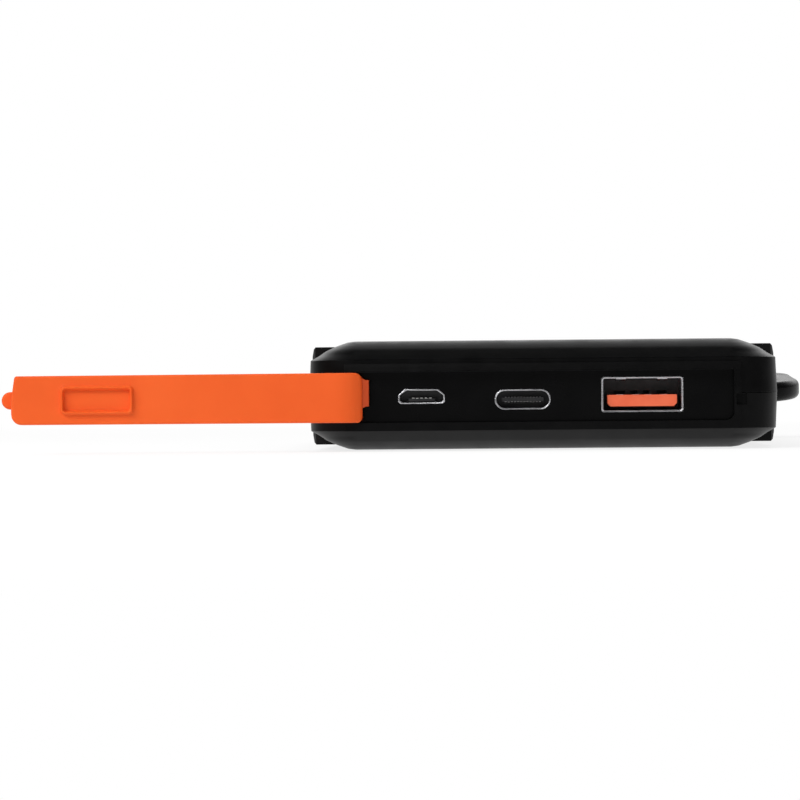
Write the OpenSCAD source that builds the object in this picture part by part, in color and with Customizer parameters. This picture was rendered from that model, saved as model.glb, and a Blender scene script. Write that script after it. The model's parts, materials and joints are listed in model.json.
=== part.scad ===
// Rugged power bank with a hinged rubber port cover and a carabiner.
// Units: mm. Origin: centre of the flat underside. +X right, +Y away from the ports, +Z up.

// Which sub-part to show

/* [Case] */
// Width of the case
case_width = 75.5; // [72:0.1:91]
// Length of the case
case_length = 142; // [130:0.5:170]
// Thickness of the case
case_thickness = 17.5; // [16.6:0.1:22]
// Corner radius seen from above
corner_radius = 8; // [7.8:0.1:10]
// How far the rounded edge runs onto the flat faces
edge_run = 7.4; // [4:0.1:7.5]
// How far the rounded edge drops below the flat faces
edge_drop = 3.1; // [1.5:0.1:3.4]
// Side wall thickness
wall = 1.8; // [1.4:0.1:2.4]
// Thickness of the top skin
top_skin = 2.2; // [2:0.1:3]
// Thickness of the bottom skin
bottom_skin = 1.8; // [1.5:0.1:2.5]

/* [Side guards] */
// Length of each side guard
guard_length = 92; // [60:1:100]
// How far a guard stands off the side wall
guard_proud = 0.55; // [0.4:0.05:1.5]
// Height of a guard
guard_height = 16.2; // [12:0.1:16.6]
// How far a guard reaches over the case
guard_wrap = 5; // [4:0.1:6]

/* [Port bay] */
// Width of the raised frame around the port bay
frame_width = 63.2; // [62.6:0.1:66]
// Height of the raised frame
frame_height = 10.75; // [10.2:0.05:11]
// How far the frame stands forward
frame_proud = 0.5; // [0.3:0.05:0.8]
// Setback at the top of the leaning lip
lip_setback = 0.42; // [0.1:0.02:0.5]
// Width of the port bay
bay_width = 60.9; // [58:0.1:61.5]
// Height of the port bay
bay_height = 8.05; // [7.6:0.05:8.4]
// Depth of the port bay behind the frame
bay_depth = 2.3; // [2:0.1:2.8]
// Thickness of the port plate
bezel_thickness = 1.6; // [1:0.1:2]

/* [Ports] */
// Position of the USB-A port across the bay
usb_a_x = 15.9; // [12:0.1:20]
// Position of the USB-C port across the bay
usb_c_x = -3.2; // [-6:0.1:0]
// Position of the micro USB port across the bay
micro_x = -19.4; // [-22:0.1:-16]

/* [Port cover] */
// Length of the cover panel
cover_length = 55.95; // [50:0.05:56.2]
// Height of the cover panel at its hinge end
cover_height = 7.95; // [7:0.05:7.95]
// Thickness of the cover panel
cover_thickness = 2; // [1.5:0.1:2.1]
// Height of the hinge strap
strap_height = 4.5; // [3.5:0.1:5.6]
// Thickness of the hinge strap
strap_thickness = 0.5; // [0.3:0.05:0.5]
// Travel from open to closed
cover_travel = 178.5; // [170:0.5:179]

/* [Solar panel] */
// Width of the solar panel
solar_width = 54; // [40:0.5:58]
// Length of the solar panel
solar_length = 96; // [70:0.5:100]

/* [Controls] */
// Diameter of the power button
button_diameter = 8; // [6:0.1:10]
// Travel of the power button
button_travel = 0.6; // [0.3:0.05:0.9]

/* [Battery] */
// Width of one cell
cell_width = 32; // [24:0.5:33]
// Length of one cell
cell_length = 86; // [66:1:87]
// Thickness of one cell
cell_thickness = 11; // [8:0.1:11.8]

/* [Carabiner] */
// Bar width
bar_width = 4.6; // [3.6:0.1:5.4]
// Bar thickness
bar_thickness = 3.9; // [3:0.1:4.2]
// Radius of the wide end, along the middle of the bar
wide_radius = 12; // [9:0.1:12.4]
// Radius of the narrow end, along the middle of the bar
narrow_radius = 8; // [6:0.1:9]
// Distance between the two end centres
end_spacing = 14; // [12:0.5:24]
// Lean of the carabiner away from the long axis of the case
carabiner_lean = 14.5; // [5:0.5:40]
// Upward tilt of the carabiner
carabiner_tilt = 4; // [0:0.5:5]

/* [Hidden] */
$fn = 48;
eps = 0.05;
half_w = case_width / 2;
half_l = case_length / 2;
mid = case_thickness / 2;
front = -half_l;
frame_y = front - frame_proud;
frame_back = front + 1.2;
bay_floor = frame_y + bay_depth;
bezel_back = bay_floor + bezel_thickness;
bezel_half = bay_width / 2 + 2.05;
usb_a_wall = bay_floor + 10;
bay_z = mid - 0.35;
frame_z0 = bay_z - bay_height / 2 - 1.32;
port_z = mid - 0.18;
board_top = port_z - 2.85;
board_thickness = 1.6;
board_x = 24.2;
board_y0 = bezel_back + 0.6;
board_y1 = board_y0 + 25;
seam = 0.08;
draft = 0.25;
// Rounded edge as [fraction of run, fraction of drop]
edge_curve = [[0, 1], [0.03, 0.95], [0.18, 0.77], [0.35, 0.5], [0.46, 0.385],
    [0.58, 0.26], [0.72, 0.145], [0.84, 0.05], [1, 0]];
outer_edge = concat([[seam, 0], [0, seam]],
    [for (p = edge_curve) [draft + p[0] * (edge_run - draft), mid - p[1] * edge_drop]]);
cavity_edge_top = [[0, 0], [0, mid - edge_drop - 0.5], [5.6, mid - top_skin]];
cavity_edge_bottom = [[0, 0], [0, mid - edge_drop - 0.5], [5.6, mid - bottom_skin]];
hinge_x = -27.7;
hinge_y = frame_y;
cover_x0 = hinge_x + 1.05;
strap_end_x = hinge_x - 1.037;
cover_face = frame_y + 0.1;
strap_r = 0.27;
strap_z = bay_z + 0.7;
boss_x = usb_a_x - 0.35;
boss_z = port_z - 0.2;
boss_height = 0.9;
root_x = hinge_x - 1.1;
control_y = front + 21;
button_x = 18;
led_x = [-18, -12, -6, 0];
switch_height = 3.5;
screw_spots = [[-27.6, front + 11.5], [27.6, front + 11.5],
    [-19, half_l - 10.2], [19, half_l - 10.2]];
board_spots = [[-21.8, board_y1 - 3.2], [21.8, board_y1 - 3.2], [5.3, front + 11]];
cell_y0 = board_y1 + 8.6;
tie_z = mid - 0.85;
cell_z0 = tie_z - cell_thickness / 2;
solar_y = 11;
solar_depth = 1.2;
pin_x = half_w - 5.15;
pin_y = half_l - 5;
pin_radius = 1.25;
eye_z = mid - 0.6;
eye_radius = 4.4;
notch_radius = 9.5;
notch_z0 = mid - 3.5;
notch_z1 = mid + 2.8;
wide_v = wide_radius + 4.3;
narrow_v = wide_v + end_spacing;
bar_angle = asin((wide_radius - narrow_radius) / end_spacing);
gate_length = sqrt(pow(end_spacing, 2) - pow(wide_radius - narrow_radius, 2));

// ---------- helpers ----------

function arc(x, y, r, a0, a1, n = 6) =
    [for (i = [0:n]) [x + r * cos(a0 + (a1 - a0) * i / n), y + r * sin(a0 + (a1 - a0) * i / n)]];

function mirrored(half, prof) = concat([for (p = prof) [half - p[0], p[1]]],
    [for (i = [len(prof) - 1:-1:0]) [prof[i][0] - half, prof[i][1]]]);

// Half of a slab from the middle plane up; prof lists [inset, height] from the plane to the face
module half_slab(w, l, r, prof) {
    rotate([90, 0, 0]) linear_extrude(l - 2 * r, center = true) polygon(mirrored(w / 2, prof));
    rotate([90, 0, 90]) linear_extrude(w - 2 * r, center = true) polygon(mirrored(l / 2, prof));
    for (q = [[1, 1, 0], [-1, 1, 90], [-1, -1, 180], [1, -1, 270]])
        translate([q[0] * (w / 2 - r), q[1] * (l / 2 - r), 0]) rotate(q[2])
            rotate_extrude(angle = 90)
                polygon(concat([for (p = prof) [r - p[0], p[1]]],
                    [[0, prof[len(prof) - 1][1]], [0, 0]]));
}

module outer_half() {
    half_slab(case_width, case_length, corner_radius, outer_edge);
}

module cavity_half(prof) {
    half_slab(case_width - 2 * wall, case_length - 2 * wall, corner_radius - wall, prof);
}

// Extrudes a shape drawn in X and Z from y0 to y1
module along_y(y0, y1) {
    translate([0, y1, 0]) rotate([90, 0, 0]) linear_extrude(y1 - y0) children();
}

module box(x0, x1, y0, y1, z0, z1) {
    translate([x0, y0, z0]) cube([x1 - x0, y1 - y0, z1 - z0]);
}

module rod(x, y, z0, z1, r) {
    translate([x, y, z0]) cylinder(h = z1 - z0, r = r);
}

module round_rect(w, h, r) {
    square([w - 2 * r, h], center = true);
    square([w, h - 2 * r], center = true);
    for (x = [-1, 1], y = [-1, 1]) translate([x * (w / 2 - r), y * (h / 2 - r)]) circle(r);
}

// Port bay outline: square upper corners, rounded lower corners
module bay_shape() {
    r = 1.2;
    translate([-bay_width / 2, bay_z - bay_height / 2 + r]) square([bay_width, bay_height - r]);
    translate([-bay_width / 2 + r, bay_z - bay_height / 2]) square([bay_width - 2 * r, r]);
    for (x = [-1, 1]) translate([x * (bay_width / 2 - r), bay_z - bay_height / 2 + r]) circle(r);
}

module micro_shape(grow = 0) {
    w = 3.75 + grow;
    h = 1.2 + grow;
    polygon([[0.35 - w, -h], [w - 0.35, -h], [w, 0.35 - h], [w, 0.2], [w - 1.05, h],
        [1.05 - w, h], [-w, 0.2], [-w, 0.35 - h]]);
}

module usb_a_place() { translate([usb_a_x, port_z]) children(); }
module usb_c_place() { translate([usb_c_x, port_z - 0.65]) children(); }
module micro_place() { translate([micro_x, port_z - 0.05]) children(); }

// Parts of both shells that carry the carabiner corner, from the middle plane up
module corner_block_half() {
    intersection() {
        outer_half();
        rod(pin_x, pin_y, 0, mid, notch_radius + 1.7);
    }
}

// ---------- case ----------

module upper_shell() {
    color("#1c1c1e") difference() {
        union() {
            translate([0, 0, mid]) {
                difference() {
                    outer_half();
                    cavity_half(cavity_edge_top);
                }
                corner_block_half();
            }
            rotate([90, 0, 90]) linear_extrude(frame_width, center = true)
                polygon([[frame_back, mid], [frame_y, mid],
                    [frame_y, bay_z + bay_height / 2],
                    [frame_y + lip_setback, frame_z0 + frame_height],
                    [frame_back, frame_z0 + frame_height]]);
            for (p = screw_spots) rod(p[0], p[1], mid, case_thickness - 1, 3);
            for (s = [-1, 1]) {
                x = s * (half_w - wall - 0.5);
                translate([x, 0, mid - 0.4]) cube([0.9, 100, 1.6], center = true);
                translate([x + s * 0.2, 0, mid + 0.8]) cube([1.3, 100, 1.6], center = true);
            }
        }
        along_y(frame_y - 1, bay_floor) bay_shape();
        bezel_blank();
        box(-solar_width / 2 - eps, solar_width / 2 + eps,
            solar_y - solar_length / 2 - eps, solar_y + solar_length / 2 + eps,
            case_thickness - solar_depth, case_thickness + 1);
        rod(button_x, control_y, case_thickness - 4, case_thickness + 1,
            button_diameter / 2 + 0.1);
        for (x = led_x) rod(x, control_y, case_thickness - 4, case_thickness + 1, 1.15);
        for (p = screw_spots) rod(p[0], p[1], mid - 1, mid + 4.2, 1.1);
        rod(pin_x, pin_y, mid - 1, notch_z1, notch_radius);
        rod(pin_x, pin_y, mid, mid + 5, pin_radius + 0.01);
    }
}

module lower_shell() {
    color("#1c1c1e") difference() {
        union() {
            translate([0, 0, mid]) mirror([0, 0, 1]) {
                difference() {
                    outer_half();
                    cavity_half(cavity_edge_bottom);
                }
                corner_block_half();
            }
            box(-frame_width / 2, frame_width / 2, frame_y, frame_back, frame_z0, mid);
            for (p = screw_spots) rod(p[0], p[1], 1, mid, 3);
            for (p = board_spots) rod(p[0], p[1], 1, board_top - board_thickness, 2.4);
            for (s = [-1, 1]) translate([s * (bezel_half - 1.9), bezel_back + 0.7, 3.7])
                cube([4, 1.2, 3], center = true);
        }
        along_y(frame_y - 1, bay_floor) bay_shape();
        bezel_blank();
        box(bay_width / 2 + 0.35, bezel_half, frame_y - 1, front + 0.8,
            mid - 1.9, mid - 0.2);
        for (p = screw_spots) {
            rod(p[0], p[1], -1, 2.2, 2.5);
            rod(p[0], p[1], 0, mid + 1, 1.3);
        }
        for (p = board_spots) rod(p[0], p[1], bottom_skin, board_top, 0.8);
        rod(pin_x, pin_y, notch_z0, mid + 1, notch_radius);
        rod(pin_x, pin_y, mid - 6, mid, pin_radius + 0.01);
    }
}

module guard() {
    x0 = half_w - guard_wrap;
    x1 = half_w + guard_proud;
    h = guard_height / 2;
    intersection() {
        rotate([90, 0, 0]) linear_extrude(guard_length, center = true) difference() {
            translate([0, mid]) polygon([[x0, -h], [x1 - 0.6, -h], [x1 - 0.25, 0.35 - h],
                [x1, 1.6 - h], [x1, h - 1.6], [x1 - 0.25, h - 0.35], [x1 - 0.6, h], [x0, h]]);
            translate([0, mid]) {
                polygon(mirrored(half_w, outer_edge));
                mirror([0, 1]) polygon(mirrored(half_w, outer_edge));
            }
        }
        linear_extrude(case_thickness) polygon([[x0, -guard_length / 2],
            [half_w, -guard_length / 2], [x1, 1.2 - guard_length / 2],
            [x1, guard_length / 2 - 1.2], [half_w, guard_length / 2], [x0, guard_length / 2]]);
    }
}

module side_guard_right() { color("#242426") guard(); }
module side_guard_left() { color("#242426") mirror([1, 0, 0]) guard(); }

module case_screws() {
    color("#55575b") for (p = screw_spots) difference() {
        union() {
            rod(p[0], p[1], 0.6, 2.2, 2.2);
            rod(p[0], p[1], 2.2, mid + 4, 1.1);
        }
        translate([p[0], p[1], 0.6]) for (a = [0, 90]) rotate(a)
            cube([2.4, 0.6, 1.6], center = true);
    }
}

// ---------- port bay ----------

module bezel_blank() {
    along_y(bay_floor, bezel_back)
        translate([-bezel_half, frame_z0 + 0.6]) square([2 * bezel_half, frame_height - 0.9]);
}

module port_bezel() {
    color("#0c0c0d") along_y(bay_floor, bezel_back) difference() {
        translate([-bezel_half, frame_z0 + 0.6]) square([2 * bezel_half, frame_height - 0.9]);
        usb_a_place() round_rect(13.1, 5.7, 0.5);
        usb_c_place() round_rect(8.94, 3.26, 1.6);
        micro_place() micro_shape();
        translate([-30, bay_z - 2.5]) square([1.1, 5]);
    }
}

module usb_a_shell() {
    color("#b9bbbe") along_y(bay_floor, bay_floor + 14) difference() {
        usb_a_place() round_rect(13.1, 5.7, 0.5);
        usb_a_place() round_rect(12.5, 5.1, 0.3);
    }
}

module usb_a_tongue() {
    color("#e2631f") along_y(bay_floor + 1.1, usb_a_wall) usb_a_place()
        polygon([[-5.05, -1.92], [5.05, -1.92], [5.55, -1.42], [5.55, -0.05],
            [-5.55, -0.05], [-5.55, -1.42]]);
}

// The insulator behind the tongue, with the four slots that the contacts come through
module usb_a_back() {
    color("#3a3a3c") difference() {
        along_y(usb_a_wall, bay_floor + 14) usb_a_place() round_rect(12.5, 5.1, 0.3);
        for (s = [[-4.3, -2.6], [-1.75, -0.6], [0.4, 1.35], [2.6, 4.15]])
            box(usb_a_x + s[0], usb_a_x + s[1], usb_a_wall - 1, usb_a_wall + 2,
                port_z + 0.1, port_z + 0.62);
    }
}

module usb_a_contacts() {
    color("#c4c2b8") for (x = [-3.5, -1, 1, 3.5])
        box(usb_a_x + x - 0.5, usb_a_x + x + 0.5, bay_floor + 1.8, usb_a_wall,
            port_z - 0.05, port_z + 0.01);
}

module usb_c_shell() {
    color("#b9bbbe") {
        along_y(bay_floor, bay_floor + 7.3) difference() {
            usb_c_place() round_rect(8.94, 3.26, 1.6);
            usb_c_place() round_rect(8.44, 2.76, 1.35);
        }
        for (x = [-2.4, 2.4], y = [4, 6.4])
            translate([usb_c_x + x, bay_floor + y, board_top + 0.35])
                cube([0.8, 0.9, 0.7], center = true);
    }
}

module usb_c_tongue() {
    color("#19191b") {
        along_y(bay_floor + 5.4, bay_floor + 7.3) usb_c_place() round_rect(8.44, 2.76, 1.35);
        along_y(bay_floor + 0.9, bay_floor + 5.4) usb_c_place() square([6.7, 0.7], center = true);
    }
}

module usb_c_contacts() {
    color("#c4c2b8") for (i = [-5.5:5.5], s = [-1, 1])
        translate([usb_c_x + i * 0.5, bay_floor + 3.4, port_z - 0.65 + s * 0.38])
            cube([0.26, 4, 0.06], center = true);
}

module micro_usb_shell() {
    color("#b9bbbe") {
        along_y(bay_floor, bay_floor + 5.5) difference() {
            micro_place() micro_shape();
            micro_place() micro_shape(-0.25);
        }
        for (x = [-2.6, 2.6], y = [3, 4.8])
            translate([micro_x + x, bay_floor + y, board_top + 0.85])
                cube([0.8, 0.8, 1.7], center = true);
    }
}

module micro_usb_tongue() {
    color("#19191b") {
        along_y(bay_floor + 3.9, bay_floor + 5.5) micro_place() micro_shape(-0.25);
        along_y(bay_floor + 0.8, bay_floor + 3.9) micro_place()
            translate([0, -0.55]) square([4.2, 0.5], center = true);
    }
}

module micro_usb_contacts() {
    color("#c4c2b8") for (i = [-2:2])
        translate([micro_x + i * 0.68, bay_floor + 2.3, port_z - 0.31])
            cube([0.4, 3.2, 0.08], center = true);
}

// ---------- port cover ----------

module swung_open() {
    translate([hinge_x, hinge_y, 0]) rotate(-cover_travel) translate([-hinge_x, -hinge_y, 0])
        children();
}

// Cover panel outline in X and Z, slightly narrower at the free end, whose edge leans back
module cover_shape() {
    x0 = cover_x0;
    x1 = cover_x0 + cover_length;
    h0 = cover_height / 2;
    h1 = h0 - 0.08;
    translate([0, bay_z]) polygon(concat(arc(x0 + 0.8, 0.8 - h0, 0.8, 180, 270),
        arc(x1 - 1.6, 1.4 - h1, 1.4, 270, 352), [[x1, -0.6], [x1, 0.6]],
        arc(x1 - 0.85, h1 - 0.4, 0.4, 5, 90, 3),
        arc(x0 + 1.3, h0 - 1.3, 1.3, 90, 180)));
}

module cover_panel() {
    x1 = cover_x0 + cover_length;
    color("#f26a26") swung_open() {
        along_y(cover_face, cover_face + cover_thickness) cover_shape();
        along_y(cover_face - 0.95, cover_face - 0.17) translate([x1 + 0.1, bay_z]) {
            translate([-3, -1.4]) square([3.25, 2.8]);
            translate([0.25, 0]) circle(1.4);
        }
        box(x1 - 2.9, x1 - 0.4, cover_face - 0.3, cover_face + 0.05, bay_z - 1.4, bay_z + 1.4);
        along_y(cover_face + cover_thickness, cover_face + cover_thickness + boss_height)
            translate([boss_x, boss_z]) difference() {
                round_rect(11.6, 4.5, 0.8);
                round_rect(10.5, 3.4, 0.4);
            }
    }
}

module cover_root() {
    color("#f26a26") {
        box(-bay_width / 2 + eps, root_x, cover_face, bay_floor,
            strap_z - 2.8, strap_z + 2.8);
        box(-30, -28.9, bay_floor, bezel_back, bay_z - 2.5, bay_z + 2.5);
        box(-31, -28, bezel_back, bezel_back + 1, bay_z - 2.9, bay_z + 2.9);
    }
}

module cover_strap() {
    z0 = strap_z - strap_height / 2;
    t = strap_thickness / 2;
    color("#d9571b") translate([0, 0, z0]) {
        translate([hinge_x, hinge_y, 0]) rotate(-90) rotate_extrude(angle = 180)
            translate([strap_r - t, 0]) square([2 * t, strap_height]);
        translate([root_x, hinge_y + strap_r - t, 0])
            cube([hinge_x - root_x, 2 * t, strap_height]);
        translate([strap_end_x, hinge_y - strap_r - t, 0])
            cube([hinge_x - strap_end_x, 2 * t, strap_height]);
    }
}

// ---------- electronics ----------

module circuit_board() {
    color("#1f5b3a") difference() {
        box(-board_x, board_x, board_y0, board_y1, board_top - board_thickness, board_top);
        for (p = board_spots) rod(p[0], p[1], 0, board_top + 1, 1);
    }
}

module board_screws() {
    color("#8d8f93") for (p = board_spots) {
        rod(p[0], p[1], board_top, board_top + 1.2, 1.8);
        rod(p[0], p[1], bottom_skin + 0.6, board_top, 0.8);
    }
}

module board_chips() {
    color("#1a1a1c") {
        box(-4, 2, board_y1 - 6, board_y1 - 1, board_top, board_top + 1);
        box(6, 11, board_y1 - 6.2, board_y1 - 1.2, board_top, board_top + 0.9);
        box(-11.2, -7.4, control_y + 2.2, control_y + 6, board_top, board_top + 0.8);
    }
}

module inductors() {
    color("#4a4a4d") for (x = [-20, -10.5])
        translate([x, front + 14, board_top]) linear_extrude(4.4) round_rect(7.3, 7.3, 1);
}

module capacitors() {
    color("#a8a29a") {
        rod(-1.5, front + 14.5, board_top, board_top + 5.6, 2.5);
        rod(5.4, front + 17, board_top, board_top + 5.6, 2.5);
        for (i = [0:4]) box(11.8 + 1.5 * i, 12.8 + 1.5 * i, board_y1 - 2.8, board_y1 - 1,
            board_top, board_top + 0.8);
    }
}

module status_leds() {
    color("#f4f1d8") for (x = led_x)
        box(x - 0.8, x + 0.8, control_y - 0.5, control_y + 0.5, board_top, board_top + 0.7);
}

module light_pipe() {
    z1 = case_thickness - top_skin;
    color("#dfe8ee") {
        for (x = led_x) rod(x, control_y, board_top + 0.9, case_thickness, 1.1);
        box(led_x[0] - 2.2, led_x[3] + 2.2, control_y - 2, control_y + 2, z1 - 1.2, z1);
    }
}

module switch_body() {
    color("#2b2b2d") difference() {
        box(button_x - 3, button_x + 3, control_y - 3, control_y + 3,
            board_top, board_top + switch_height);
        rod(button_x, control_y, board_top + 0.6, board_top + switch_height + 1, 1.75);
    }
}

module switch_plunger() {
    color("#c9c9c4") rod(button_x, control_y, board_top + 0.8 + button_travel,
        board_top + switch_height + 1.4, 1.7);
}

module power_button() {
    z1 = case_thickness - top_skin;
    color("#2c2c2f") {
        rod(button_x, control_y, z1 - 1, case_thickness - 0.05, button_diameter / 2);
        rod(button_x, control_y, z1 - 1.1, z1 - 0.1, button_diameter / 2 + 1);
        rod(button_x, control_y, board_top + switch_height + 1.4, z1 - 1, 1.6);
    }
}

module battery_cells() {
    color("#b4bcc4") for (s = [-1, 1])
        along_y(cell_y0, cell_y0 + cell_length)
            translate([s * (cell_width / 2 + 0.6), tie_z]) round_rect(cell_width, cell_thickness, 2.5);
}

module cell_tabs() {
    color("#c8c6bd") for (x = [-25, -8, 8, 25])
        box(x - 2.5, x + 2.5, cell_y0 - 5.5, cell_y0, tie_z, tie_z + 0.2);
}

module protection_board() {
    color("#1f5b3a") box(-29, 29, cell_y0 - 6.2, cell_y0 - 1, tie_z - 1, tie_z);
}

module lead(x) {
    r = 0.65;
    z = tie_z + r;
    y = board_y1 - 2;
    translate([x, y + 1.5, z]) rotate([-90, 0, 0]) cylinder(h = cell_y0 - 3.6 - y - 1.5, r = r);
    translate([x, y + 1.5, z - 1.5]) rotate([0, -90, 0])
        rotate_extrude(angle = -90) translate([1.5, 0]) circle(r);
    rod(x, y, board_top, z - 1.5, r);
}

module lead_positive() { color("#c3261f") lead(-13); }
module lead_negative() { color("#151517") lead(-16.5); }

module foam_pads() {
    top = case_thickness - top_skin;
    color("#3b3b3e") for (s = [-1, 1], y = [8, cell_length - 16]) {
        translate([s * (cell_width / 2 + 0.6), cell_y0 + y + 4, 0]) {
            box(-9, 9, -4, 4, bottom_skin, cell_z0);
            box(-9, 9, -4, 4, cell_z0 + cell_thickness, top);
        }
    }
}

module solar_board() {
    z = case_thickness - solar_depth;
    color("#20242c") box(-solar_width / 2, solar_width / 2, solar_y - solar_length / 2,
        solar_y + solar_length / 2, z, z + 0.6);
}

module solar_cells() {
    z = case_thickness - solar_depth + 0.6;
    w = (solar_width - 5) / 2;
    l = (solar_length - 6) / 5;
    color("#151c34") for (i = [0, 1], j = [0:4])
        translate([(i - 0.5) * (w + 1), solar_y + (j - 2) * (l + 0.6), z])
            linear_extrude(0.2) square([w, l], center = true);
}

module solar_cover() {
    z = case_thickness - solar_depth + 0.8;
    color("#9fb4c8", 0.35) box(-solar_width / 2, solar_width / 2, solar_y - solar_length / 2,
        solar_y + solar_length / 2, z, z + 0.3);
}

// ---------- carabiner ----------

// Local frame: origin on the pin, +Y along the carabiner, +Z through its thickness
module carabiner_place() {
    translate([pin_x, pin_y, eye_z]) rotate(-carabiner_lean) rotate([carabiner_tilt, 0, 0])
        children();
}

module bar_section(slim = 0) {
    round_rect(bar_width - 2 * slim, bar_thickness - 2 * slim, 1.3 - slim);
}

// Local frame on the gate pivot, +Y along the gate towards its free end
module gate_place() {
    translate([-wide_radius * cos(bar_angle), wide_v + wide_radius * sin(bar_angle), 0])
        rotate(-bar_angle) children();
}

module carabiner_body() {
    color("#0e0e10") carabiner_place() difference() {
        union() {
            translate([0, wide_v, 0]) rotate(180 - bar_angle)
                rotate_extrude(angle = 180 + 2 * bar_angle)
                    translate([wide_radius, 0]) bar_section();
            translate([wide_radius * cos(bar_angle), wide_v + wide_radius * sin(bar_angle), 0])
                rotate(bar_angle) rotate([-90, 0, 0]) translate([0, 0, -0.5])
                    linear_extrude(gate_length + 1) bar_section(0.03);
            translate([0, narrow_v, 0]) rotate(bar_angle)
                rotate_extrude(angle = 180 - 2 * bar_angle)
                    translate([narrow_radius, 0]) bar_section();
            translate([0, 0, -bar_thickness / 2]) cylinder(h = bar_thickness, r = eye_radius);
            gate_place() translate([0, 0, -bar_thickness / 2 + 0.1])
                cylinder(h = bar_thickness - 0.2, r = 2.35);
        }
        translate([0, 0, -bar_thickness]) cylinder(h = 2 * bar_thickness, r = 1.8);
        gate_place() {
            translate([0, 0, -0.85]) cylinder(h = 1.7, r = 2.6);
            translate([0, 0, -bar_thickness]) cylinder(h = 2 * bar_thickness, r = 0.71);
        }
    }
}

module gate_pin() {
    color("#b0b2b6") carabiner_place() gate_place()
        translate([0, 0, 0.1 - bar_thickness / 2]) cylinder(h = bar_thickness - 0.2, r = 0.7);
}

module carabiner_gate() {
    color("#2a2a2d") carabiner_place() gate_place() difference() {
        union() {
            translate([0, 0, -0.75]) cylinder(h = 1.5, r = 2.1);
            translate([-1.6, 0, -0.75]) cube([3.2, 3.2, 1.5]);
            translate([0, 2.7, 0]) rotate([-90, 0, 0]) linear_extrude(gate_length - 3)
                round_rect(bar_width - 0.6, bar_thickness - 0.5, 1.2);
        }
        translate([0, 0, -1]) cylinder(h = 2, r = 0.75);
    }
}

module lanyard_pin() {
    color("#b0b2b6") rod(pin_x, pin_y, mid - 5.5, mid + 4.8, pin_radius);
}

upper_shell();
lower_shell();
side_guard_left();
side_guard_right();
port_bezel();
cover_root();
cover_strap();
cover_panel();
usb_a_shell();
usb_a_tongue();
usb_a_back();
usb_a_contacts();
usb_c_shell();
usb_c_tongue();
usb_c_contacts();
micro_usb_shell();
micro_usb_tongue();
micro_usb_contacts();
circuit_board();
board_screws();
board_chips();
inductors();
capacitors();
status_leds();
light_pipe();
switch_body();
switch_plunger();
power_button();
battery_cells();
cell_tabs();
protection_board();
lead_positive();
lead_negative();
foam_pads();
solar_board();
solar_cells();
solar_cover();
case_screws();
lanyard_pin();
carabiner_body();
gate_pin();
carabiner_gate();
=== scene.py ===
"""Power bank with a hinged rubber port cover and a carabiner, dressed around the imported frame."""
import json
import math

import bmesh
import bpy
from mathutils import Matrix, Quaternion, Vector


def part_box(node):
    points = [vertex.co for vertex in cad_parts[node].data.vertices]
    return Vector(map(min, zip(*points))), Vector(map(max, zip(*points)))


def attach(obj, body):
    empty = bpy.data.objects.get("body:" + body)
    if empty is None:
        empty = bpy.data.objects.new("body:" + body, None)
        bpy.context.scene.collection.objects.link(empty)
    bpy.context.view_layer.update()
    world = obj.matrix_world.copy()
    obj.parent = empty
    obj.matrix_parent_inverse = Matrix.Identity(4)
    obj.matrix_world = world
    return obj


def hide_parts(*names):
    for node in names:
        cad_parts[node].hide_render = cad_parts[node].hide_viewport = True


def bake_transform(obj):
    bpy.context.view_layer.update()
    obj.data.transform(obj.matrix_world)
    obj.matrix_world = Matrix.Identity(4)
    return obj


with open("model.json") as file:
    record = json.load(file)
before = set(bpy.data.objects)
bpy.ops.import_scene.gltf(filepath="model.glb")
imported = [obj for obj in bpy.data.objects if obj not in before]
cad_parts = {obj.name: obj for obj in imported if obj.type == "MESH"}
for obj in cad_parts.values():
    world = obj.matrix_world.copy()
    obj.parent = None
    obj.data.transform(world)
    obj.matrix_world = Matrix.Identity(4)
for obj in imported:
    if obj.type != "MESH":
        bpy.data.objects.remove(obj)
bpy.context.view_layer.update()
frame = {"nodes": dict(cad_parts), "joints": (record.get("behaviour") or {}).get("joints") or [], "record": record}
NODES = frame["nodes"]
JOINTS = {j["name"]: j for j in frame["joints"]}
MM = 0.001


# ---------------------------------------------------------------- materials

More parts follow.
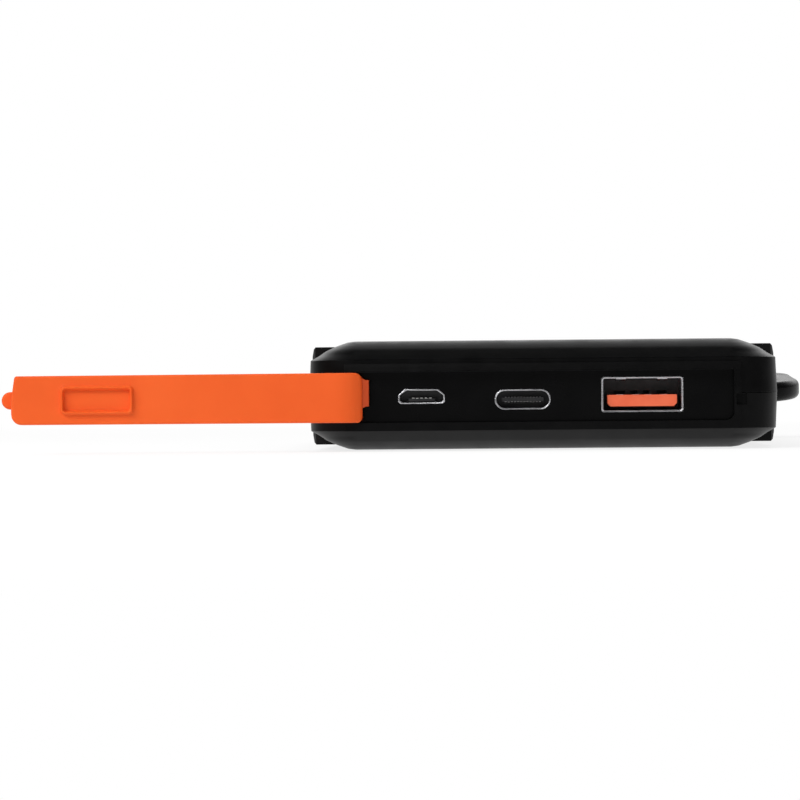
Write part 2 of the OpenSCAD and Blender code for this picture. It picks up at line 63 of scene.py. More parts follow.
class Shader:
    """A small wrapper round one material's node tree."""

    def __init__(self, name):
        self.mat = bpy.data.materials.new(name)
        self.mat.use_nodes = True
        self.tree = self.mat.node_tree
        self.tree.nodes.clear()
        self.out = self.node("ShaderNodeOutputMaterial")
        self.bsdf = self.node("ShaderNodeBsdfPrincipled")
        self.link(self.bsdf.outputs["BSDF"], self.out.inputs["Surface"])
        self.coord = self.node("ShaderNodeTexCoord").outputs["Object"]

    def node(self, kind, **values):
        n = self.tree.nodes.new(kind)
        for key, value in values.items():
            setattr(n, key, value)
        return n

    def link(self, a, b):
        self.tree.links.new(a, b)

    def noise(self, scale, detail=3.0, rough=0.5, stretch=None):
        vector = self.coord
        if stretch:
            mapping = self.node("ShaderNodeMapping")
            mapping.inputs["Scale"].default_value = stretch
            self.link(vector, mapping.inputs["Vector"])
            vector = mapping.outputs["Vector"]
        n = self.node("ShaderNodeTexNoise")
        n.inputs["Scale"].default_value = scale
        n.inputs["Detail"].default_value = detail
        n.inputs["Roughness"].default_value = rough
        self.link(vector, n.inputs["Vector"])
        return n.outputs["Fac"]

    def ramp(self, value, low, high, to_low, to_high):
        n = self.node("ShaderNodeMapRange")
        n.clamp = True
        for key, v in (("From Min", low), ("From Max", high), ("To Min", to_low), ("To Max", to_high)):
            n.inputs[key].default_value = v
        self.link(value, n.inputs["Value"])
        return n.outputs["Result"]

    def mix(self, factor, a, b):
        n = self.node("ShaderNodeMix", data_type="RGBA")
        self.link(factor, n.inputs["Factor"])
        for value, socket in ((a, n.inputs["A"]), (b, n.inputs["B"])):
            if isinstance(value, (tuple, list)):
                socket.default_value = (*value[:3], 1.0)
            else:
                self.link(value, socket)
        return n.outputs["Result"]

    def colour(self, a, b, scale, low=0.35, high=0.65, stretch=None):
        factor = self.ramp(self.noise(scale, 4.0, stretch=stretch), low, high, 0.0, 1.0)
        self.link(self.mix(factor, a, b), self.bsdf.inputs["Base Color"])

    def roughness(self, low, high, scale, stretch=None):
        self.link(self.ramp(self.noise(scale, 3.0, stretch=stretch), 0.3, 0.7, low, high),
                  self.bsdf.inputs["Roughness"])

    def surface(self, bumps=(), round_mm=0.0):
        """bumps is a list of (height source, strength, distance in mm); round_mm softens the edges."""
        normal = None
        if round_mm:
            bevel = self.node("ShaderNodeBevel", samples=4)
            bevel.inputs["Radius"].default_value = round_mm * MM
            normal = bevel.outputs["Normal"]
        for height, strength, distance in bumps:
            n = self.node("ShaderNodeBump")
            n.inputs["Strength"].default_value = strength
            n.inputs["Distance"].default_value = distance * MM
            self.link(height, n.inputs["Height"])
            if normal is not None:
                self.link(normal, n.inputs["Normal"])
            normal = n.outputs["Normal"]
        if normal is not None:
            self.link(normal, self.bsdf.inputs["Normal"])

    def set(self, **values):
        for key, value in values.items():
            self.bsdf.inputs[key.replace("_", " ")].default_value = value


def moulded(name, dark, light, rough, grain=5200.0, grain_strength=0.25, round_mm=0.12, level=0.5,
            grain_depth=0.012):
    """Spark-textured moulded plastic."""
    s = Shader(name)
    s.colour(dark, light, 420.0)
    s.roughness(rough[0], rough[1], 260.0)
    s.set(IOR=1.45, Specular_IOR_Level=level)
    s.surface([(s.noise(grain, 2.0), grain_strength, grain_depth), (s.noise(140.0, 2.0), 0.08, 0.05)],
              round_mm)
    return s.mat


def rubber(name, dark, light, rough, grain=3600.0, strength=0.18, round_mm=0.12, glow=0.0, level=0.5):
    """Silicone or TPU with a soft matte skin and faint flow marks."""
    s = Shader(name)
    s.colour(dark, light, 90.0, 0.3, 0.7)
    s.roughness(rough[0], rough[1], 180.0)
    s.set(IOR=1.42, Specular_IOR_Level=level)
    if glow:
        s.set(Subsurface_Weight=glow, Subsurface_Radius=(1.2, 0.45, 0.2), Subsurface_Scale=0.0008)
    s.surface([(s.noise(grain, 2.0), strength, 0.01), (s.noise(60.0, 2.0, stretch=(1, 1, 3)), 0.12, 0.06)],
              round_mm)
    return s.mat


def metal(name, dark, light, rough, stretch=(1.0, 40.0, 40.0), scale=300.0, round_mm=0.06, strength=0.08):
    """Rolled or machined metal with marks along one direction."""
    s = Shader(name)
    s.colour(dark, light, scale, 0.3, 0.7, stretch)
    s.roughness(rough[0], rough[1], scale, stretch)
    s.set(Metallic=1.0)
    s.surface([(s.noise(scale * 4, 2.0, stretch=stretch), strength, 0.006)], round_mm)
    return s.mat


def polished(name, dark, light, rough, level=0.3, round_mm=0.1, wave=0.05):
    """Glossy injection moulding with a slight orange peel."""
    s = Shader(name)
    s.colour(dark, light, 200.0)
    s.roughness(rough[0], rough[1], 500.0)
    s.set(IOR=1.5, Specular_IOR_Level=level)
    s.surface([(s.noise(900.0, 1.0), wave, 0.01)], round_mm)
    return s.mat


def clear(name, tint, rough, alpha_mix):
    s = Shader(name)
    s.colour(tint, [c * 0.96 for c in tint], 300.0)
    s.roughness(rough, rough + 0.05, 400.0)
    s.set(IOR=1.46, Transmission_Weight=alpha_mix, Coat_Weight=0.1, Coat_Roughness=0.05)
    s.surface([(s.noise(700.0, 1.0), 0.03, 0.01)], 0.08)
    return s.mat


def board(name):
    """Solder mask with lighter traces in a cell pattern."""
    s = Shader(name)
    cells = s.node("ShaderNodeTexVoronoi", feature="DISTANCE_TO_EDGE", distance="MANHATTAN")
    cells.inputs["Scale"].default_value = 620.0
    s.link(s.coord, cells.inputs["Vector"])
    trace = s.ramp(cells.outputs["Distance"], 0.02, 0.08, 1.0, 0.0)
    mask = s.mix(trace, (0.012, 0.085, 0.045), (0.03, 0.16, 0.085))
    s.link(mask, s.bsdf.inputs["Base Color"])
    s.roughness(0.28, 0.42, 300.0)
    s.surface([(trace, 0.3, 0.03)], 0.05)
    return s.mat


def silicon(name):
    """Monocrystalline cell: deep blue with a faint mottled film."""
    s = Shader(name)
    s.colour((0.014, 0.03, 0.13), (0.026, 0.052, 0.19), 60.0, 0.25, 0.75)
    s.roughness(0.16, 0.26, 240.0)
    s.set(Metallic=0.2, Specular_IOR_Level=0.3, Coat_Weight=0.15, Coat_Roughness=0.05)
    s.surface([(s.noise(2600.0, 2.0), 0.1, 0.01)])
    return s.mat


def plated(name):
    """Tin-plated contact spring, satin enough to catch light from above."""
    s = Shader(name)
    s.colour((0.7, 0.69, 0.66), (0.84, 0.83, 0.8), 500.0)
    s.roughness(0.3, 0.45, 700.0)
    s.set(Metallic=0.55)
    s.surface([(s.noise(3000.0, 1.0), 0.08, 0.01)], 0.05)
    return s.mat


def foil(name):
    s = Shader(name)
    s.colour((0.42, 0.45, 0.49), (0.62, 0.65, 0.69), 110.0)
    s.roughness(0.24, 0.4, 150.0)
    s.set(Metallic=0.85)
    s.surface([(s.noise(240.0, 3.0), 0.35, 0.08)], 0.2)
    return s.mat


SHELL = dict(dark=(0.0014, 0.0014, 0.0015), light=(0.0024, 0.0024, 0.0025))
MATERIALS = {
    "shell_black": moulded("shell_black", rough=(0.32, 0.4), grain_strength=0.28, level=0.11, **SHELL),
    "guard_black": moulded("guard_black", (0.007, 0.007, 0.0071), (0.01, 0.01, 0.0102), (0.42, 0.52),
                           grain=3000.0, grain_strength=0.3, round_mm=0.25, level=0.09),
    "bezel_gloss": polished("bezel_gloss", (0.0012, 0.0012, 0.0013), (0.002, 0.002, 0.0021), (0.2, 0.28),
                            level=0.09),
    "cover_orange": rubber("cover_orange", (0.83, 0.108, 0.013), (0.88, 0.124, 0.018), (0.55, 0.65),
                           glow=0.1, level=0.3),
    # A darker copy of the cover rubber: painted shade for the fold of the hinge strap.
    "cover_fold_painted_shade": rubber("cover_fold_painted_shade", (0.45, 0.052, 0.009), (0.5, 0.06, 0.0105), (0.5, 0.6), glow=0.05,
                         level=0.3),
    "port_steel": metal("port_steel", (0.5, 0.5, 0.52), (0.74, 0.74, 0.76), (0.2, 0.34)),
    "tongue_orange": moulded("tongue_orange", (0.93, 0.15, 0.06), (0.98, 0.18, 0.075), (0.38, 0.5)),
    "tongue_black": moulded("tongue_black", (0.008, 0.008, 0.009), (0.013, 0.013, 0.014), (0.34, 0.44)),
    "port_insulator": moulded("port_insulator", (0.055, 0.055, 0.056), (0.075, 0.075, 0.076), (0.45, 0.55)),
    "contact_plated": plated("contact_plated"),
    "board_green": board("board_green"),
    "screw_steel": metal("screw_steel", (0.4, 0.4, 0.42), (0.6, 0.6, 0.62), (0.25, 0.38), (1, 1, 1)),
    "chip_black": moulded("chip_black", (0.01, 0.01, 0.011), (0.016, 0.016, 0.017), (0.45, 0.6)),
    "ferrite_grey": moulded("ferrite_grey", (0.05, 0.05, 0.052), (0.09, 0.09, 0.094), (0.6, 0.75)),
    "capacitor_tan": moulded("capacitor_tan", (0.34, 0.3, 0.24), (0.44, 0.4, 0.33), (0.4, 0.5)),
    "led_white": rubber("led_white", (0.82, 0.8, 0.66), (0.9, 0.88, 0.76), (0.3, 0.4)),
    "light_pipe": clear("light_pipe", (0.86, 0.9, 0.93), 0.18, 0.75),
    "plunger_white": moulded("plunger_white", (0.5, 0.5, 0.48), (0.62, 0.62, 0.6), (0.4, 0.5)),
    "button_black": rubber("button_black", (0.012, 0.012, 0.013), (0.02, 0.02, 0.021), (0.5, 0.62),
                           round_mm=0.35),
    "cell_foil": foil("cell_foil"),
    "tab_nickel": metal("tab_nickel", (0.5, 0.49, 0.45), (0.68, 0.66, 0.6), (0.24, 0.4)),
    "lead_red": rubber("lead_red", (0.42, 0.012, 0.01), (0.58, 0.02, 0.014), (0.4, 0.5)),
    "lead_black": rubber("lead_black", (0.008, 0.008, 0.009), (0.014, 0.014, 0.015), (0.4, 0.5)),
    "foam_grey": rubber("foam_grey", (0.03, 0.03, 0.032), (0.06, 0.06, 0.062), (0.8, 0.95), grain=1500.0,
                        strength=0.7),
    "solar_backing": moulded("solar_backing", (0.006, 0.008, 0.012), (0.01, 0.012, 0.018), (0.35, 0.45)),
    "solar_blue": silicon("solar_blue"),
    "solar_resin": clear("solar_resin", (0.93, 0.95, 0.97), 0.1, 1.0),
    "screw_dark": metal("screw_dark", (0.05, 0.05, 0.053), (0.11, 0.11, 0.115), (0.3, 0.42), (1, 1, 1)),
    "pin_steel": metal("pin_steel", (0.48, 0.48, 0.5), (0.66, 0.66, 0.68), (0.2, 0.32), (1, 1, 1)),
    "carabiner_black": polished("carabiner_black", (0.0025, 0.0025, 0.0027), (0.004, 0.004, 0.0042),
                                (0.24, 0.32), level=0.06),
    "gate_black": polished("gate_black", (0.009, 0.009, 0.0095), (0.014, 0.014, 0.0145), (0.2, 0.3)),
}
SLOT_OF = {p["node"]: p["material_slot"] for p in frame["record"]["subparts"]}


def smooth_group(limit_deg):
    """Geometry nodes that shade smooth but keep edges sharper than the limit."""
    tree = bpy.data.node_groups.new("smooth_by_angle_%d" % limit_deg, "GeometryNodeTree")
    tree.interface.new_socket("Geometry", in_out="INPUT", socket_type="NodeSocketGeometry")
    tree.interface.new_socket("Geometry", in_out="OUTPUT", socket_type="NodeSocketGeometry")
    add = tree.nodes.new
    source, sink = add("NodeGroupInput"), add("NodeGroupOutput")
    faces = add("GeometryNodeSetShadeSmooth")
    edges = add("GeometryNodeSetShadeSmooth")
    edges.domain = "EDGE"
    edges.inputs["Shade Smooth"].default_value = False
    angle = add("GeometryNodeInputMeshEdgeAngle")
    over = add("FunctionNodeCompare")
    over.data_type, over.operation = "FLOAT", "GREATER_THAN"
    over.inputs["B"].default_value = math.radians(limit_deg)
    join = tree.links.new
    join(source.outputs[0], faces.inputs["Geometry"])
    join(faces.outputs[0], edges.inputs["Geometry"])
    join(angle.outputs["Unsigned Angle"], over.inputs["A"])
    join(over.outputs["Result"], edges.inputs["Selection"])
    join(edges.outputs[0], sink.inputs[0])
    return tree


SMOOTH = smooth_group(27)


def shade_by_angle(obj):
    normals = obj.data.attributes.get("custom_normal")
    if normals:
        obj.data.attributes.remove(normals)
    weld = obj.modifiers.new("weld", "WELD")
    weld.merge_threshold = 2e-6
    obj.modifiers.new("smooth", "NODES").node_group = SMOOTH


for node_name, node_obj in NODES.items():
    node_obj.data.materials.clear()
    node_obj.data.materials.append(MATERIALS[SLOT_OF[node_name]])
    shade_by_angle(node_obj)


# ---------------------------------------------------------------- mesh helpers

def piece(name, verts, faces, slot, body, smooth=True, finish=None):
    """A mesh piece in metres from vertices in millimetres."""
    mesh = bpy.data.meshes.new(name)
    mesh.from_pydata([Vector(v) * MM for v in verts], [], faces)
    bm = bmesh.new()
    bm.from_mesh(mesh)
    bmesh.ops.remove_doubles(bm, verts=bm.verts, dist=1e-7)
    bmesh.ops.recalc_face_normals(bm, faces=bm.faces)
    bm.to_mesh(mesh)
    bm.free()
    mesh.polygons.foreach_set("use_smooth", [smooth] * len(mesh.polygons))
    mesh.materials.append(MATERIALS[finish or slot])
    obj = bpy.data.objects.new(name, mesh)
    bpy.context.scene.collection.objects.link(obj)
    if body:
        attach(obj, body)
    return obj


def grid_faces(rows, cols, start=0, close_cols=False):
    faces = []
    for i in range(rows - 1):
        for j in range(cols if close_cols else cols - 1):
            k = (j + 1) % cols
            faces.append((start + i * cols + j, start + i * cols + k,
                          start + (i + 1) * cols + k, start + (i + 1) * cols + j))
    return faces


class Build:
    """Collects several solids into one mesh."""

    def __init__(self):
        self.verts, self.faces = [], []

    def add(self, verts, faces):
        base = len(self.verts)
        self.verts += [tuple(v) for v in verts]
        self.faces += [tuple(base + i for i in f) for f in faces]

    def rings(self, loops, cap=True):
        """Lofts closed loops of equal length, with a flat cap at each end."""
        n = len(loops[0])
        verts = [v for loop in loops for v in loop]
        faces = grid_faces(len(loops), n, close_cols=True)
        if cap:
            faces += [tuple(range(n))[::-1], tuple((len(loops) - 1) * n + i for i in range(n))]
        self.add(verts, faces)

    def soft_box(self, lo, hi, r, steps=3):
        """A box with rounded edges all round, as lofted rounded rectangles along Z."""
        (x0, y0, z0), (x1, y1, z1) = lo, hi
        r = min(r, (x1 - x0) / 2.01, (y1 - y0) / 2.01, (z1 - z0) / 2.01)
        levels = [(a / steps * math.pi / 2) for a in range(steps + 1)]
        loops = [rounded((x0 + x1) / 2, (y0 + y1) / 2, x1 - x0, y1 - y0, r, z0 + r * (1 - math.sin(a)),
                         r * (1 - math.cos(a))) for a in reversed(levels)]
        loops += [rounded((x0 + x1) / 2, (y0 + y1) / 2, x1 - x0, y1 - y0, r, z1 - r * (1 - math.sin(a)),
                          r * (1 - math.cos(a))) for a in levels]
        self.rings(loops)


def rounded(cx, cy, w, h, r, z, inset=0.0, steps=4):
    """A rounded rectangle loop at height z, drawn in by inset."""
    w, h = w - 2 * inset, h - 2 * inset
    r = max(min(r, w / 2, h / 2) - inset * 0.5, 0.02)
    loop = []
    for qx, qy, a0 in ((1, 1, 0), (-1, 1, 90), (-1, -1, 180), (1, -1, 270)):
        for k in range(steps + 1):
            a = math.radians(a0 + 90 * k / steps)
            loop.append((cx + qx * (w / 2 - r) + r * math.cos(a), cy + qy * (h / 2 - r) + r * math.sin(a), z))
    return loop


def smoothstep(t):
    t = min(max(t, 0.0), 1.0)
    return t * t * (3 - 2 * t)


# ---------------------------------------------------------------- port cover

hinge = JOINTS["cover_hinge"]
HX, HY, BAY_Z = [v / MM for v in hinge["pos_m"]]
TRAVEL = math.radians(hinge["range_deg"][1])


def opened(x, y, z):
    """A point of the closed cover, swung to the open rest pose."""
    c, s = math.cos(-TRAVEL), math.sin(-TRAVEL)
    dx, dy = x - HX, y - HY
    return (HX + dx * c - dy * s, HY + dx * s + dy * c, z)


# Sizes and places on the closed cover, in millimetres
PANEL_LENGTH = 55.95
PANEL_HALF = 3.975
PANEL_TAPER = 0.08
PANEL_X0 = HX + 1.05
PANEL_X1 = PANEL_X0 + PANEL_LENGTH
FACE = HY + 0.1
THICK = 2.0
BOSS_X, BOSS_Z, BOSS_W, BOSS_H = 15.55, 8.37, 11.6, 4.5
BOSS_WALL = 0.55
BOSS_RISE = 0.85
BOSS_HOLLOW = 0.95
TAB_HALF = 1.4
TAB_REACH = 0.35
TAB_ROOT = 2.9
# How far the upper edge of the free end leans back towards the hinge
SLANT = 0.5
# Corner radii as (hinge end, free end), for the upper edge and the lower edge
UPPER_CORNERS = (1.3, 0.45)
LOWER_CORNERS = (0.85, 1.7)


def panel_half(x, side):
    """Half height of the panel at x; side 1 is the upper edge and -1 the lower edge."""
    t = (x - PANEL_X0) / (PANEL_X1 - PANEL_X0)
    half = PANEL_HALF - PANEL_TAPER * t
    r0, r1 = UPPER_CORNERS if side > 0 else LOWER_CORNERS
    d0, d1 = x - PANEL_X0, PANEL_X1 - x
    if d0 < r0:
        half -= r0 - math.sqrt(max(r0 * r0 - (r0 - d0) ** 2, 0.0))
    if d1 < r1:
        half -= r1 - math.sqrt(max(r1 * r1 - (r1 - d1) ** 2, 0.0))
    return half


def box_distance(x, z, cx, cz, w, h, r):
    """Signed distance to a rounded rectangle, negative inside."""
    qx, qz = abs(x - cx) - w / 2 + r, abs(z - cz) - h / 2 + r
    return math.hypot(max(qx, 0), max(qz, 0)) + min(max(qx, qz), 0) - r


def round_over(d, r):
    """How far a surface falls at distance d from an edge rounded by r."""
    if d >= r:
        return 0.0
    d = max(d, 0.0)
    return r - math.sqrt(max(r * r - (r - d) ** 2, 0.0))


def inner_depth(x, z, edge):
    """Height of the cover's inner face over its outer face."""
    depth = THICK
    thinning, thin_length = 1.5, 4.2
    from_hinge = x - PANEL_X0
    if from_hinge < thin_length:
        depth -= thinning * (1 - from_hinge / thin_length) ** 2.2
    depth -= round_over(edge, 0.35)
    d = box_distance(x, z, BOSS_X, BOSS_Z, BOSS_W, BOSS_H, 0.75)
    d_in = box_distance(x, z, BOSS_X, BOSS_Z, BOSS_W - 2 * BOSS_WALL, BOSS_H - 2 * BOSS_WALL, 0.4)
    # The wall stays inside the boss outline, so that the boss clears the socket it plugs
    wall = BOSS_RISE * (1 - smoothstep((d + 0.22) / 0.26))
    hollow = BOSS_HOLLOW * (1 - smoothstep((d_in + 0.1) / 0.32))
    skirt = 0.12 * math.exp(-max(d, 0) / 0.5)
    return depth + wall + skirt * (1 - smoothstep(-d / 0.3)) - hollow


def clustered(lo, hi, coarse, marks, fine, reach):
    """Grid lines at a coarse pitch, with finer ones within reach of each mark."""
    lines = {round(lo, 4), round(hi, 4)}
    n = max(int((hi - lo) / coarse), 1)
    lines.update(round(lo + (hi - lo) * i / n, 4) for i in range(n + 1))
    for m in marks:
        k = int(reach / fine)
        lines.update(round(m + i * fine, 4) for i in range(-k, k + 1) if lo < m + i * fine < hi)
    lines = sorted(lines)
    kept = [lines[0]]
    for v in lines[1:]:
        if v - kept[-1] > fine * 0.6:
            kept.append(v)
    kept[-1] = lines[-1]
    return kept


def build_cover_leaf():
    boss_x = [BOSS_X + s * BOSS_W / 2 for s in (-1, 1)]
    xs = clustered(PANEL_X0, PANEL_X1, 0.9, [PANEL_X0, PANEL_X1], 0.12, 1.5)
    xs = sorted(set(xs) | set(clustered(boss_x[0] - 1.4, boss_x[1] + 1.4, 0.6, boss_x, 0.09, 1.3)))
    half_at_boss = 3.9
    boss_z = [(BOSS_Z + s * BOSS_H / 2 - BAY_Z) / half_at_boss for s in (-1, 1)]
    vs = clustered(-1.0, 1.0, 0.1, [-1.0, 1.0], 0.03, 0.16)
    vs = sorted(set(vs) | set(clustered(-0.98, 0.98, 0.1, boss_z, 0.024, 0.34)))
    rows = []
    for x in xs:
        x_edge = min(x - PANEL_X0, PANEL_X1 - x)
        row = []
        for v in vs:
            side = 1 if v > 0 else -1
            half = panel_half(x, side)
            z = BAY_Z + v * half
            edge = min(x_edge, (1 - abs(v)) * half)
            lean = SLANT * max(v, 0.0) * (x - PANEL_X0) / (PANEL_X1 - PANEL_X0)
            row.append((x - lean, z, edge))
        rows.append(row)
    build = Build()
    nx, nv = len(xs), len(vs)
    inner = [opened(x, FACE + inner_depth(x, z, e), z) for row in rows for x, z, e in row]
    outer = [opened(x, FACE + round_over(e, 0.5) + 0.02, z) for row in rows for x, z, e in row]
    build.add(inner + outer, grid_faces(nx, nv) + [f[::-1] for f in grid_faces(nx, nv, nx * nv)])
    rim = list(range(nv)) + [i * nv + nv - 1 for i in range(1, nx)]
    rim += [(nx - 1) * nv + j for j in range(nv - 2, -1, -1)] + [i * nv for i in range(nx - 2, 0, -1)]
    off = nx * nv
    build.faces += [(rim[k], rim[(k + 1) % len(rim)], off + rim[(k + 1) % len(rim)], off + rim[k])
                    for k in range(len(rim))]
    # Pull tab: a round-ended tongue on the outer face that reaches past the free end
    y_out, y_in = FACE - 0.95, FACE - 0.17
    root_x, end_x = PANEL_X1 - TAB_ROOT, PANEL_X1 + TAB_REACH
    loops = []
    for a in range(9):
        t = math.pi * a / 8
        y = (y_out + y_in) / 2 + (y_in - y_out) / 2 * math.cos(t)
        grow = -0.3 * (1 - math.sin(t))
        half = TAB_HALF + grow
        loop = []
        for k in range(17):
            b = -math.pi / 2 + math.pi * k / 16
            loop.append((end_x + half * math.cos(b), BAY_Z + half * math.sin(b), y))
        loop += [(root_x - grow, BAY_Z + half, y), (root_x - grow, BAY_Z - half, y)]
        loops.append([opened(x, yy, z) for x, z, yy in loop])
    build.rings(loops)
    pad, pad_half = Build(), 1.25
    pad.soft_box((root_x, FACE - 0.4, BAY_Z - pad_half),
                 (PANEL_X1 - 0.45, FACE + 0.3, BAY_Z + pad_half), 0.15)
    build.add([opened(*v) for v in pad.verts], pad.faces)
    obj = piece("cover_leaf", build.verts, build.faces, "cover_orange", "cover")
    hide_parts("cover_panel")


STRAP_Z, STRAP_H, STRAP_T = 9.1, 4.5, 0.5
# The strap turns between this far behind the hinge line and this far in front of it
FOLD = 0.25


def folded(s, h):
    """Where a point of the flat closed strap lies at rest. It settles where the bend law agrees."""
    def turned(w):
        a = TRAVEL * w
        return s * math.cos(a) + h * math.sin(a), -s * math.sin(a) + h * math.cos(a)

    low, high = 0.0, 1.0
    for _ in range(48):
        w = (low + high) / 2
        if smoothstep((FOLD - turned(w)[1]) / (2 * FOLD)) > w:
            low = w
        else:
            high = w
    x, y = turned((low + high) / 2)
    return HX + x, HY + y


def build_hinge_web():
    steps = 72
    case_end, cover_end = -1.35, 1.7
    loops = []
    for i in range(steps + 1):
        s = case_end + (cover_end - case_end) * i / steps
        waist = 0.15 - 0.35 * smoothstep(s - 0.3)
        loop = []
        for y, z, _ in rounded(0.0, 0.0, STRAP_T, STRAP_H - 2 * waist, 0.2, 0.0, steps=3):
            x, yy = folded(s, STRAP_T / 2 + 0.02 + y)
            loop.append((x, yy, STRAP_Z + z))
        loops.append(loop)
    build = Build()
    build.rings(loops)
    # The strap uses the darker copy of the cover rubber, which is painted shade at the fold.
    obj = piece("cover_hinge_web", build.verts, build.faces, "cover_orange", None, finish="cover_fold_painted_shade")
    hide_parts("cover_strap")
    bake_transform(obj)


def build_cover_anchor():
    lo, hi = [[c / MM for c in corner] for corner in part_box("cover_root")]
    build = Build()
    build.soft_box((lo[0] + 0.65, lo[1], STRAP_Z - 2.75), (HX - 1.12, lo[1] + 2.2, STRAP_Z + 2.75), 0.35, 4)
    build.soft_box((-30.0, lo[1] + 1.8, BAY_Z - 2.45), (-28.92, hi[1] - 0.9, BAY_Z + 2.45), 0.1)
    build.soft_box((lo[0], hi[1] - 1.0, lo[2]), (-28.0, hi[1], BAY_Z + 2.85), 0.2)
    obj = piece("cover_anchor", build.verts, build.faces, "cover_orange", "case")
    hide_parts("cover_root")


build_cover_leaf()
build_hinge_web()
build_cover_anchor()


# ---------------------------------------------------------------- port details

LIP_INSET = 0.12


def rounded_mouth(width, height, r):
    """Outline of a rounded socket, grown by the last argument."""
    def outline(cx, cz, grow):
        loop = rounded(cx, cz, width - 2 * LIP_INSET, height - 2 * LIP_INSET, r, 0.0, -LIP_INSET - grow,
                       steps=6)
        return [(x, z) for x, z, _ in loop]
    return outline


def micro_mouth(cx, cz, grow):
    """Outline of the micro socket: slanted upper shoulders and clipped lower corners."""
    w, h = 3.75 + grow, 1.2 + grow
    half = [(w - 0.35, -h), (w, 0.35 - h), (w, 0.2), (w - 1.05, h)]
    return [(cx + x, cz + z) for x, z in half + [(-x, z) for x, z in reversed(half)]]


SOCKETS = (("usb_a_shell", 5.7, rounded_mouth(13.1, 5.7, 0.5)),
           ("usb_c_shell", 3.26, rounded_mouth(8.94, 3.26, 1.6)),
           ("micro_usb_shell", 2.4, micro_mouth))


def add_port_details():
    lo, hi = [[c / MM for c in corner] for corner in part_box("usb_a_shell")]
    cx, cz, mouth = (lo[0] + hi[0]) / 2, (lo[2] + hi[2]) / 2, lo[1]
    spring_start, spring_length, spring_dip, half_sheet = 3.6, 5.2, 0.3, 0.08
    spring_z = cz + 2.53
    springs = Build()
    for x in (-3.3, 3.3):
        loops = []
        for i in range(13):
            t = i / 12
            y = mouth + spring_start + spring_length * t
            z = spring_z - spring_dip * math.sin(math.pi * min(t * 1.25, 1.0)) ** 1.5
            half = 0.8 - 0.25 * t
            left, right, top, under = cx + x - half, cx + x + half, z + half_sheet, z - half_sheet
            loops.append([(left, y, top), (right, y, top), (right, y, under), (left, y, under)])
        springs.rings(loops)
    piece("usb_a_springs", springs.verts, springs.faces, "port_steel", "case", smooth=False)

    collar = Build()
    for node, height, outline in SOCKETS:
        lo, hi = [[c / MM for c in corner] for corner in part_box(node)]
        cx, cz = (lo[0] + hi[0]) / 2, hi[2] - height / 2
        loops = []
        for k in range(7):
            a = math.pi * k / 6
            grow, y = 0.11 * math.cos(a), lo[1] - 0.09 * math.sin(a)
            loops.append([(x, y, z) for x, z in outline(cx, cz, grow - LIP_INSET)])
        collar.rings(loops, cap=False)
    piece("socket_lips", collar.verts, collar.faces, "port_steel", "case")


add_port_details()


# ---------------------------------------------------------------- solar panel lines

def build_solar_lines():
    lo, hi = [[c / MM for c in corner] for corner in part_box("solar_cells")]
    z = hi[2]
    build = Build()

    def strip(x0, x1, y0, y1, h):
        build.add([(x, y, zz) for zz in (z, z + h) for x, y in ((x0, y0), (x1, y0), (x1, y1), (x0, y1))],
                  [(0, 1, 2, 3), (7, 6, 5, 4), (0, 4, 5, 1), (1, 5, 6, 2), (2, 6, 7, 3), (3, 7, 4, 0)])

    columns, rows, gap_x, gap_y = 2, 5, 1.0, 0.6
    fingers, finger_margin, finger_half = 20, 0.7, 0.035
    busbar_half = 0.35
    w = (hi[0] - lo[0] - gap_x * (columns - 1)) / columns
    length = (hi[1] - lo[1] - gap_y * (rows - 1)) / rows
    for i in range(columns):
        for j in range(rows):
            x0, y0 = lo[0] + i * (w + gap_x), lo[1] + j * (length + gap_y)
            for k in range(fingers):
                x = x0 + finger_margin + (w - 2 * finger_margin) * k / (fingers - 1)
                strip(x - finger_half, x + finger_half, y0 + 0.5, y0 + length - 0.5, 0.012)
            for share in (0.28, 0.72):
                y = y0 + length * share
                strip(x0 + 0.4, x0 + w - 0.4, y - busbar_half, y + busbar_half, 0.02)
    piece("solar_lines", build.verts, build.faces, "tab_nickel", "case", smooth=False)


build_solar_lines()


# ---------------------------------------------------------------- grips

def build_grip_ribs():
    count, pitch, half_rib, z0, z1 = 25, 2.5, 0.55, 3.4, 13.8
    for side, node in ((-1, "side_guard_left"), (1, "side_guard_right")):
        lo, hi = [[c / MM for c in corner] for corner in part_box(node)]
        x = hi[0] if side > 0 else lo[0]
        build = Build()
        for k in range(count):
            y = (k - (count - 1) / 2) * pitch
            x0, x1 = sorted((x - side * 0.25, x + side * 0.16))
            build.soft_box((x0, y - half_rib, z0), (x1, y + half_rib, z1), 0.14, 3)
        piece("grip_ribs_left" if side < 0 else "grip_ribs_right", build.verts, build.faces,
              "guard_black", "case")


build_grip_ribs()


# ---------------------------------------------------------------- stage, light and camera

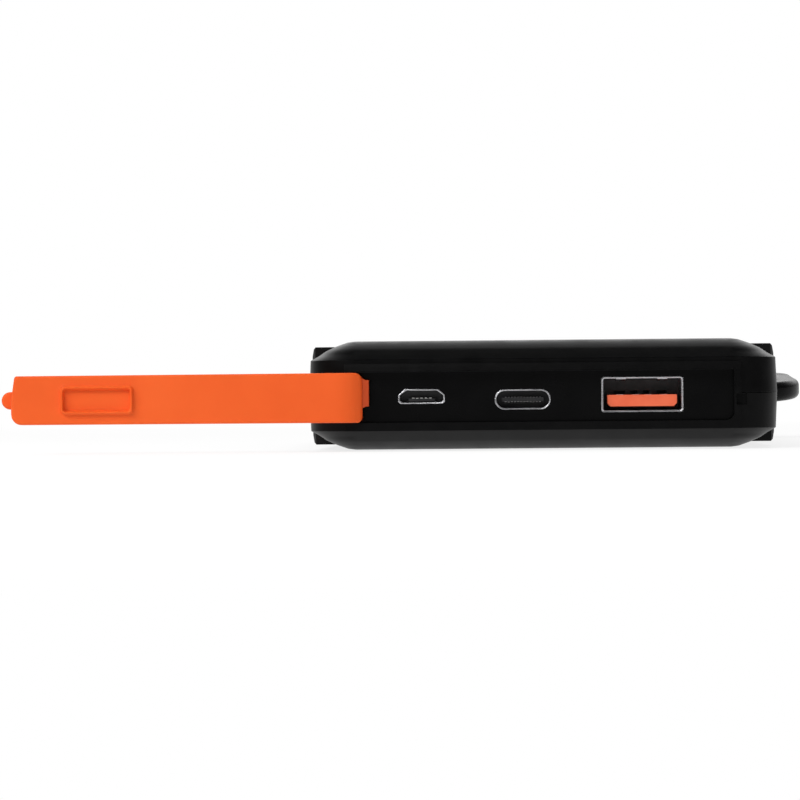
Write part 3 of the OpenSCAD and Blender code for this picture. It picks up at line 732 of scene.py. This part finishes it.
def build_floor():
    s = Shader("floor_paper")
    s.set(IOR=1.3, Specular_IOR_Level=0.0)
    s.roughness(0.75, 0.9, 3.0)
    s.surface([(s.noise(900.0, 2.0), 0.05, 0.02)])
    s.colour((0.93, 0.93, 0.93), (0.95, 0.95, 0.95), 8.0)
    length = s.node("ShaderNodeVectorMath", operation="LENGTH")
    s.link(s.coord, length.inputs[0])
    fade = s.ramp(length.outputs["Value"], 0.1, 0.5, 0.8, 1.0)
    glow = s.node("ShaderNodeEmission")
    glow.inputs["Color"].default_value = (1, 1, 1, 1)
    mixer = s.node("ShaderNodeMixShader")
    s.link(fade, mixer.inputs[0])
    s.link(s.bsdf.outputs["BSDF"], mixer.inputs[1])
    s.link(glow.outputs["Emission"], mixer.inputs[2])
    s.link(mixer.outputs["Shader"], s.out.inputs["Surface"])
    mesh = bpy.data.meshes.new("floor")
    bm = bmesh.new()
    bmesh.ops.create_grid(bm, x_segments=8, y_segments=8, size=6.0)
    bm.to_mesh(mesh)
    bm.free()
    mesh.materials.append(s.mat)
    floor = bpy.data.objects.new("floor", mesh)
    floor.location.z = -0.0002
    bpy.context.scene.collection.objects.link(floor)


def build_world():
    """A white room, dark behind the viewer, overhead and low down. The camera itself sees plain white."""
    world = bpy.data.worlds.new("studio")
    bpy.context.scene.world = world
    world.use_nodes = True
    tree = world.node_tree
    tree.nodes.clear()
    add, link = tree.nodes.new, tree.links.new

    def ramp(value, low, high, to_low, to_high):
        n = add("ShaderNodeMapRange")
        n.interpolation_type = "SMOOTHSTEP"
        for key, v in (("From Min", low), ("From Max", high), ("To Min", to_low), ("To Max", to_high)):
            n.inputs[key].default_value = v
        link(value, n.inputs["Value"])
        return n.outputs["Result"]

    def background(strength):
        n = add("ShaderNodeBackground")
        n.inputs["Color"].default_value = (1, 1, 1, 1)
        n.inputs["Strength"].default_value = strength
        return n

    split = add("ShaderNodeSeparateXYZ")
    link(add("ShaderNodeTexCoord").outputs["Generated"], split.inputs[0])

    def product(a, b):
        n = add("ShaderNodeMath")
        n.operation = "MULTIPLY"
        link(a, n.inputs[0])
        link(b, n.inputs[1])
        return n.outputs[0]

    far_wall = ramp(split.outputs["Y"], 0.3, 0.95, 0.03, 2.4)
    below_ceiling = ramp(split.outputs["Z"], 0.4, 0.8, 1.0, 0.06)
    above_skirting = ramp(split.outputs["Z"], 0.12, 0.36, 0.3, 1.0)
    room = product(product(far_wall, below_ceiling), above_skirting)
    lit, seen = background(1.0), background(1.0)
    link(room, lit.inputs["Strength"])
    mixer = add("ShaderNodeMixShader")
    link(add("ShaderNodeLightPath").outputs["Is Camera Ray"], mixer.inputs[0])
    link(lit.outputs[0], mixer.inputs[1])
    link(seen.outputs[0], mixer.inputs[2])
    link(mixer.outputs[0], add("ShaderNodeOutputWorld").inputs["Surface"])


def add_softbox(name, target, direction, distance, size, watts, mirrored=True):
    """An area light that looks at the target from the given direction."""
    data = bpy.data.lights.new(name, "AREA")
    data.shape = "RECTANGLE"
    data.size, data.size_y = size
    data.energy = watts
    light = bpy.data.objects.new(name, data)
    away = Vector(direction).normalized()
    light.location = Vector(target) + away * distance
    light.rotation_mode = "QUATERNION"
    light.rotation_quaternion = (-away).to_track_quat("-Z", "Y")
    light.visible_glossy = mirrored
    bpy.context.scene.collection.objects.link(light)


def add_camera():
    """Level with the case, a long lens turned slightly to the cover's side."""
    data = bpy.data.cameras.new("camera")
    data.lens = 169.4
    data.sensor_width = 36.0
    data.clip_start, data.clip_end = 0.01, 20.0
    camera = bpy.data.objects.new("camera", data)
    yaw, pitch, roll = math.radians(2.2), math.radians(0.0723), math.radians(-0.5)
    look = Vector((-math.sin(yaw) * math.cos(pitch), math.cos(yaw) * math.cos(pitch), -math.sin(pitch)))
    camera.location = Vector((0.3, -671.5, 8.75)) * MM
    camera.rotation_mode = "QUATERNION"
    camera.rotation_quaternion = look.to_track_quat("-Z", "Y") @ Quaternion((0, 0, 1), roll)
    bpy.context.scene.collection.objects.link(camera)
    bpy.context.scene.camera = camera


build_floor()
build_world()
add_softbox("key", (-0.02, -0.07, 0.01), (-0.55, -0.65, 0.62), 0.9, (0.7, 0.35), 6.6)
add_softbox("fill", (0.0, -0.07, 0.01), (0.5, -0.75, 0.4), 1.1, (0.5, 0.4), 1.0)
add_softbox("overhead", (0.0, 0.02, 0.01), (0.0, 0.1, 1.0), 0.9, (0.9, 0.9), 5.0, mirrored=False)
add_camera()
scene = bpy.context.scene
scene.view_settings.view_transform = "Standard"
scene.view_settings.look = "None"
scene.view_settings.exposure = 0.0
